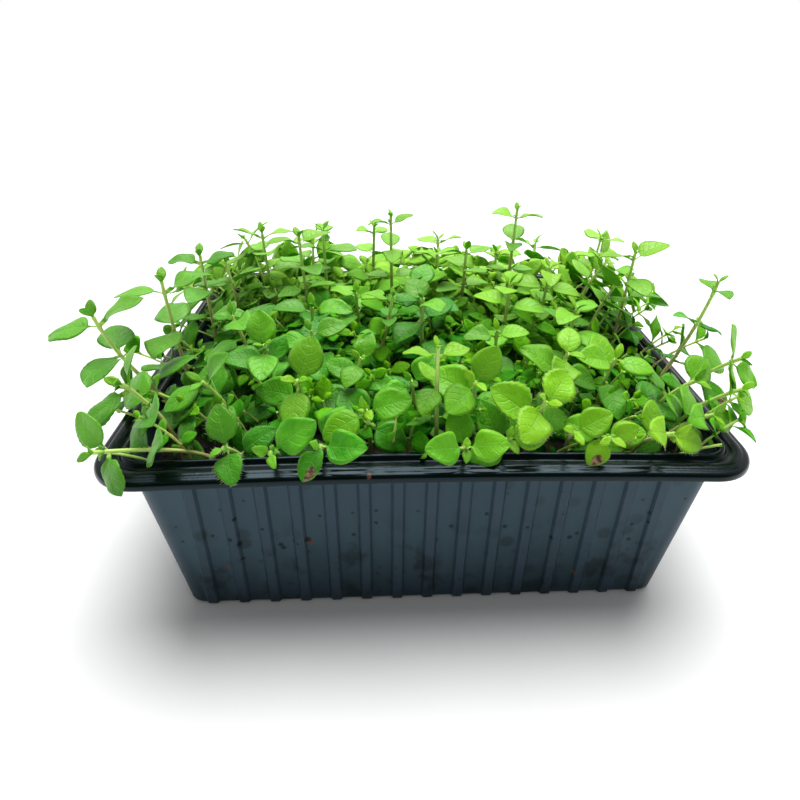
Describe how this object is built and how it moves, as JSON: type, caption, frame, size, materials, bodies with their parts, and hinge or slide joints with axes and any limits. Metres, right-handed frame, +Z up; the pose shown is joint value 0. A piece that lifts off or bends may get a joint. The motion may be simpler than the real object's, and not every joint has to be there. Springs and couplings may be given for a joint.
{
  "type": "microgreens tray",
  "caption": "Ribbed rectangular plastic tray with a wide turned-down rim, filled with soil and planted with a dense stand of young herb shoots with small oval leaves in opposite pairs.",
  "frame": {"origin": "middle of the tray's flat underside", "axes": "+Z up, +X along the tray's longer side to the right, -Y the front long side"},
  "size_m": [0.2173, 0.1691, 0.1068],
  "materials": {
    "tray_plastic": "satin slate-grey thermoformed sheet with dried water spots",
    "soil": "dark moist crumbly potting soil",
    "foliage": "soft matte fresh green leaves on pale and reddish hairy stems"
  },
  "bodies": {
    "root": {"tray": "tray_plastic", "soil": "soil", "shoot_01": "foliage", "shoot_02": "foliage", "shoot_03": "foliage", "shoot_04": "foliage", "shoot_05": "foliage", "shoot_06": "foliage", "shoot_07": "foliage", "shoot_08": "foliage", "shoot_09": "foliage", "shoot_10": "foliage", "shoot_11": "foliage", "shoot_12": "foliage", "shoot_13": "foliage", "shoot_14": "foliage", "shoot_15": "foliage", "shoot_16": "foliage", "shoot_17": "foliage", "shoot_18": "foliage", "shoot_19": "foliage", "shoot_20": "foliage", "shoot_21": "foliage", "shoot_22": "foliage", "shoot_23": "foliage", "shoot_24": "foliage", "shoot_25": "foliage", "shoot_26": "foliage", "shoot_27": "foliage", "shoot_28": "foliage", "shoot_29": "foliage", "shoot_30": "foliage", "shoot_31": "foliage", "shoot_32": "foliage", "shoot_33": "foliage", "shoot_34": "foliage", "shoot_35": "foliage", "shoot_36": "foliage", "shoot_37": "foliage", "shoot_38": "foliage", "shoot_39": "foliage", "shoot_40": "foliage", "shoot_41": "foliage", "shoot_42": "foliage", "shoot_43": "foliage", "shoot_44": "foliage", "shoot_45": "foliage", "shoot_46": "foliage", "shoot_47": "foliage", "shoot_48": "foliage", "shoot_49": "foliage", "shoot_50": "foliage", "shoot_51": "foliage", "shoot_52": "foliage", "shoot_53": "foliage", "shoot_54": "foliage", "shoot_55": "foliage", "shoot_56": "foliage", "shoot_57": "foliage", "shoot_58": "foliage"}
  },
  "joints": []
}
